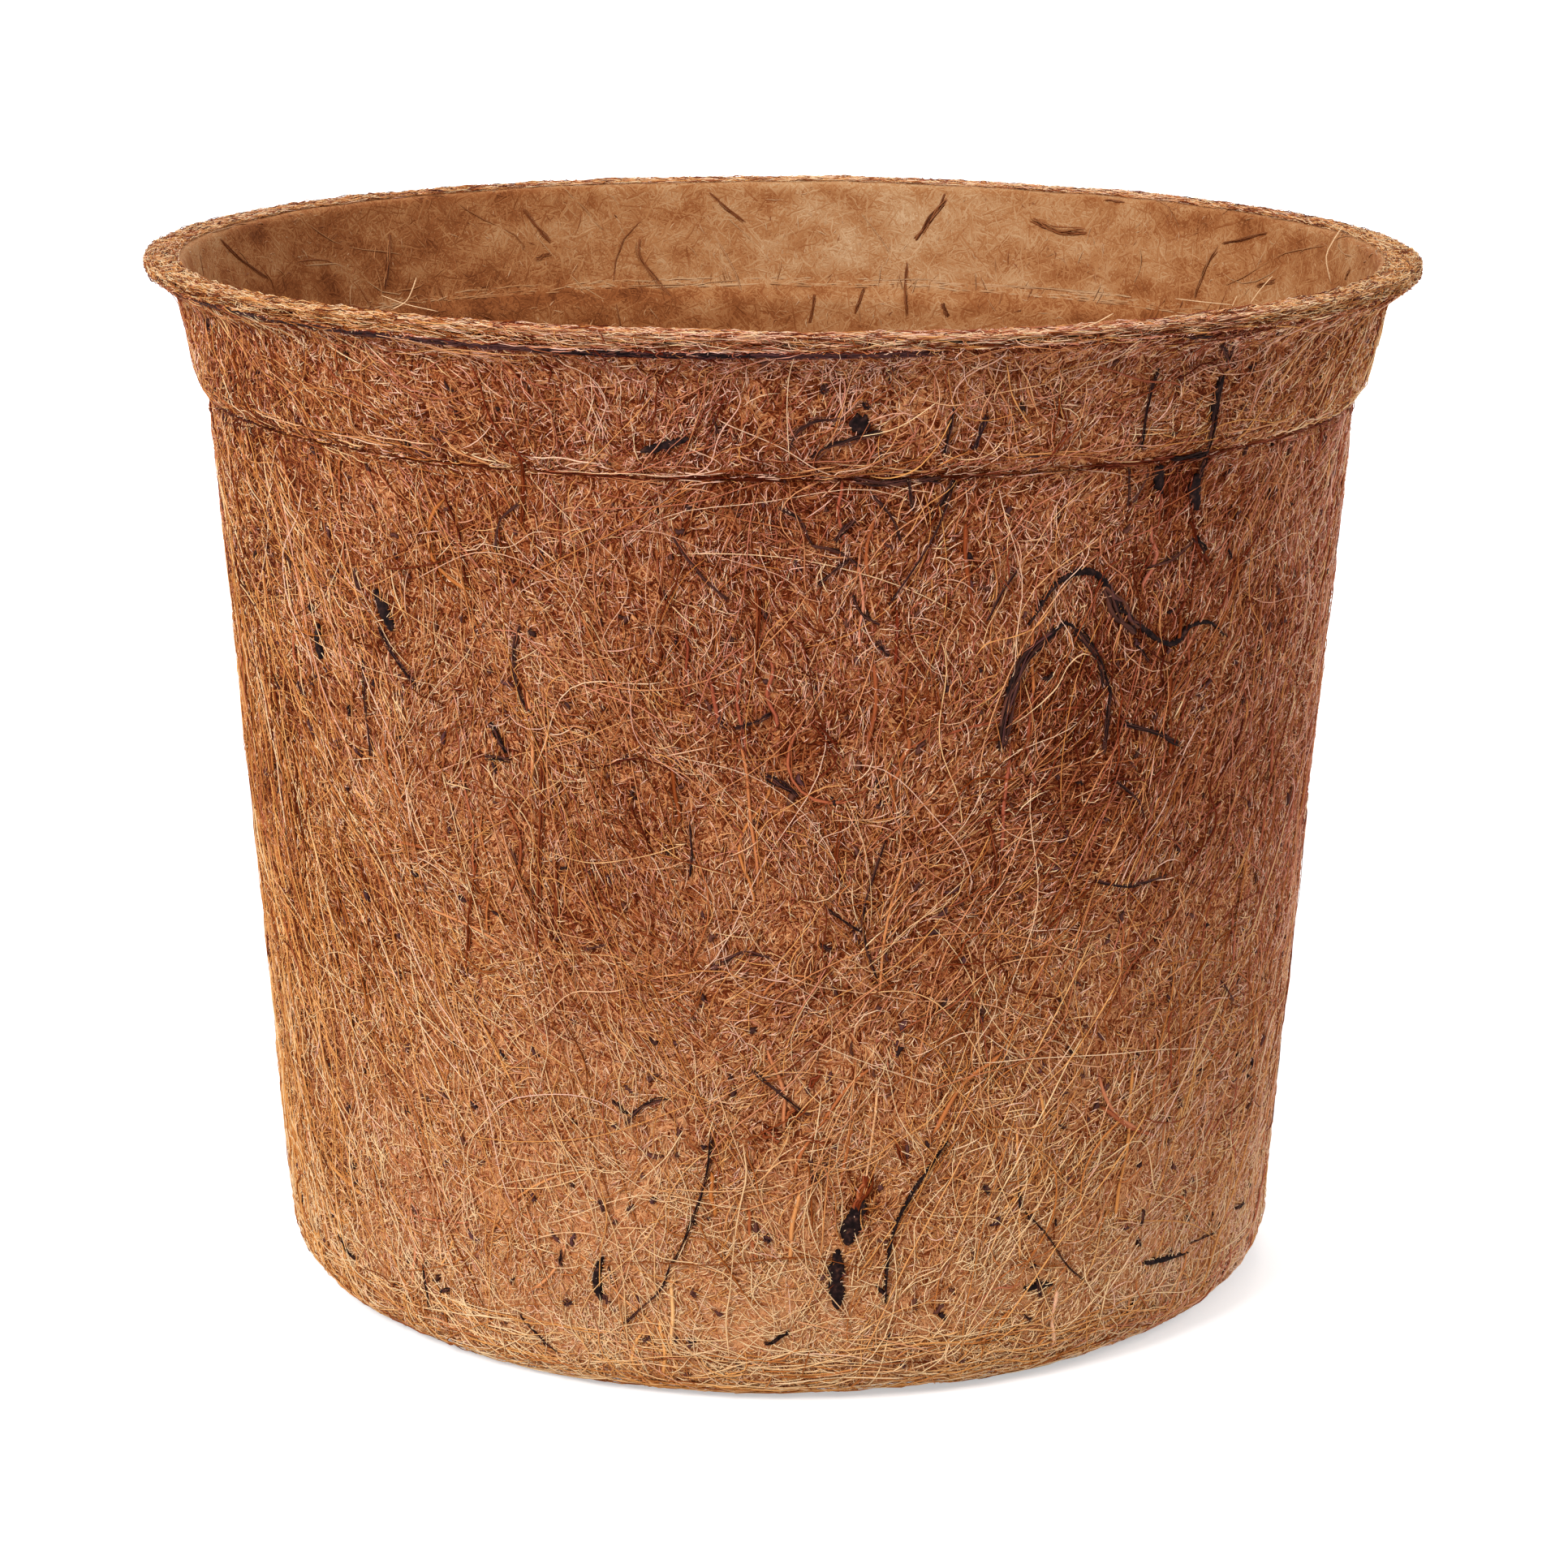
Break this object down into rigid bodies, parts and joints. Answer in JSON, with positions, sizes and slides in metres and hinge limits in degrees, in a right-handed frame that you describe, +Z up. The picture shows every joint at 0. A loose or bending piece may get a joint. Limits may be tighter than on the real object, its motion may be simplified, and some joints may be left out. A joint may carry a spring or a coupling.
{
  "type": "coir pot",
  "caption": "Round tapered plant pot of pressed coconut-fibre felt, with a stepped collar and a flared flat rim, open at the top and standing on a flat base.",
  "frame": {"origin": "centre of the underside, on the pot's axis", "axes": "+Z up along the pot's axis, the pictured front faces -Y"},
  "size_m": [0.15, 0.15, 0.1224],
  "materials": {
    "coir_felt": "matte, coarse tangled fibre bonded with latex",
    "coir_lining": "matte, finer tangled fibre bonded with latex",
    "husk": "matte dark husk flake"
  },
  "bodies": {
    "root": {"outer_wall_ply": "coir_felt", "outer_base_disc": "coir_felt", "inner_wall_ply": "coir_lining", "inner_base_disc": "coir_lining", "husk_flake_lower_oval": "husk", "husk_flake_lower_long": "husk", "husk_flake_lower_left": "husk", "husk_flake_lower_right": "husk", "husk_flake_base_right": "husk", "husk_flake_left": "husk", "husk_flake_far_left": "husk", "husk_flake_under_step": "husk", "husk_flake_beside_step": "husk", "husk_flake_collar_round": "husk", "husk_flake_collar_left": "husk", "husk_flake_collar_right": "husk", "husk_strip_arch": "husk", "husk_strip_arch_end": "husk", "husk_strip_low_arch": "husk", "husk_strip_lower": "husk"}
  },
  "joints": []
}
